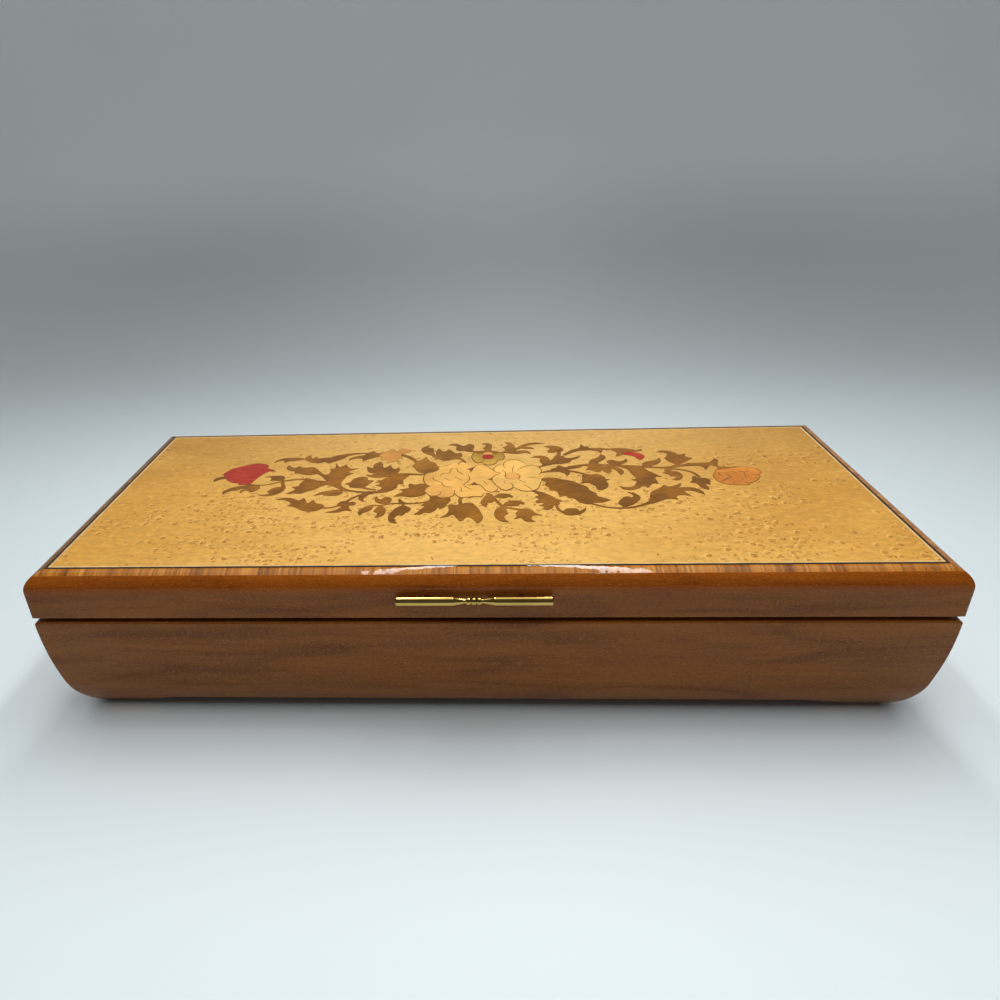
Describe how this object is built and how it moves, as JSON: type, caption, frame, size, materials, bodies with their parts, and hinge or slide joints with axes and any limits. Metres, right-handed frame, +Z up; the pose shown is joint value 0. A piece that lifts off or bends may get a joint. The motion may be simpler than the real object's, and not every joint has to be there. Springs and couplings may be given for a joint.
{
  "type": "musical jewelry box",
  "caption": "Hull-shaped lacquered box on corner feet with an inlaid hinged lid, lined compartments, ring rolls and a spring-driven comb movement under a window.",
  "frame": {"origin": "centre of the footprint at the feet's undersides", "axes": "+Z up, +X along the length, the handle on the -Y side and the hinges on the +Y side"},
  "size_m": [0.302, 0.136, 0.061],
  "materials": {
    "dark_wood": "gloss lacquer over a striped reddish-brown veneer",
    "plywood": "plain plywood",
    "maple_veneer": "golden figured maple with floral inlay, gloss lacquer",
    "dark_string": "dyed string line, gloss lacquer",
    "light_string": "light string line, gloss lacquer",
    "striped_veneer": "striped crossband, gloss lacquer",
    "lining_cloth": "short-pile velvet",
    "card": "fibre card",
    "clear_pane": "clear acrylic",
    "brass": "polished",
    "steel": "bright",
    "cast_metal": "cast, gold lacquered",
    "fan_plastic": "moulded"
  },
  "bodies": {
    "case": {"case_front": "dark_wood", "case_back": "dark_wood", "case_left": "dark_wood", "case_right": "dark_wood", "bottom_board": "plywood", "wall_lining": "lining_cloth", "floor_pad_main": "lining_cloth", "floor_pad_tray": "lining_cloth", "divider_movement": "lining_cloth", "divider_bay": "lining_cloth", "divider_rings": "lining_cloth", "ring_rolls": "lining_cloth", "window_pane": "clear_pane", "window_ledges": "plywood", "hinge_leaves_case": "brass", "hinge_pins": "brass", "hinge_screws_case": "brass", "bedplate": "cast_metal", "comb": "steel", "cylinder_bracket": "steel", "governor_frame": "steel", "barrel_bridge": "steel", "movement_screws": "steel", "small_screws": "steel", "start_bracket": "steel", "start_spring": "steel"},
    "lid": {"lid_rail_front": "dark_wood", "lid_rail_back": "dark_wood", "lid_rail_left": "dark_wood", "lid_rail_right": "dark_wood", "lid_board": "plywood", "maple_field": "maple_veneer", "string_dark": "dark_string", "string_light": "light_string", "crossband": "striped_veneer", "lid_card": "card", "lid_pad": "lining_cloth", "hinge_leaves_lid": "brass", "hinge_screws_lid": "brass", "handle_bar": "brass", "handle_nuts": "brass"},
    "cylinder": {"cylinder_drum": "brass", "cylinder_arbor": "steel", "cylinder_pinion": "brass", "great_wheel": "brass"},
    "barrel": {"barrel_drum": "steel", "barrel_cover": "brass", "mainspring": "steel"},
    "relay": {"relay_arbor": "steel", "worm_wheel": "brass"},
    "governor": {"governor_worm": "steel", "governor_fan": "fan_plastic"},
    "winding": {"winding_arbor": "steel", "winding_key": "brass"},
    "start": {"start_pin": "steel"}
  },
  "joints": [
    {"name": "lid_hinge", "type": "hinge", "parent": "case", "child": "lid", "pos_m": [0, 0.066, 0.04375], "axis": [-1, 0, 0], "range_deg": [0, 100]},
    {"name": "start_slide", "type": "slide", "parent": "case", "child": "start", "axis": [0, 0, 1], "range_m": [0, 0.0035], "deforming": ["start_spring"]},
    {"name": "cylinder_spin", "type": "hinge", "parent": "case", "child": "cylinder", "pos_m": [-0.0885, 0.0235, 0.0285], "axis": [1, 0, 0], "continuous": true},
    {"name": "barrel_spin", "type": "hinge", "parent": "case", "child": "barrel", "pos_m": [-0.118, 0.0235, 0.021], "axis": [0, 0, 1], "continuous": true},
    {"name": "relay_spin", "type": "hinge", "parent": "case", "child": "relay", "pos_m": [-0.0715, 0.0325, 0.0285], "axis": [1, 0, 0], "continuous": true},
    {"name": "governor_spin", "type": "hinge", "parent": "case", "child": "governor", "pos_m": [-0.0709, 0.0381, 0.025], "axis": [0, 0, 1], "continuous": true},
    {"name": "key_turn", "type": "hinge", "parent": "case", "child": "winding", "pos_m": [-0.118, 0.0235, 0.012], "axis": [0, 0, 1], "continuous": true}
  ],
  "couplings": [
    {"joint": "start_slide", "follows": "lid_hinge", "m_per_rad": 0.002},
    {"joint": "barrel_spin", "follows": "cylinder_spin", "ratio": 0.25},
    {"joint": "relay_spin", "follows": "cylinder_spin", "ratio": -4},
    {"joint": "governor_spin", "follows": "cylinder_spin", "ratio": 48}
  ]
}
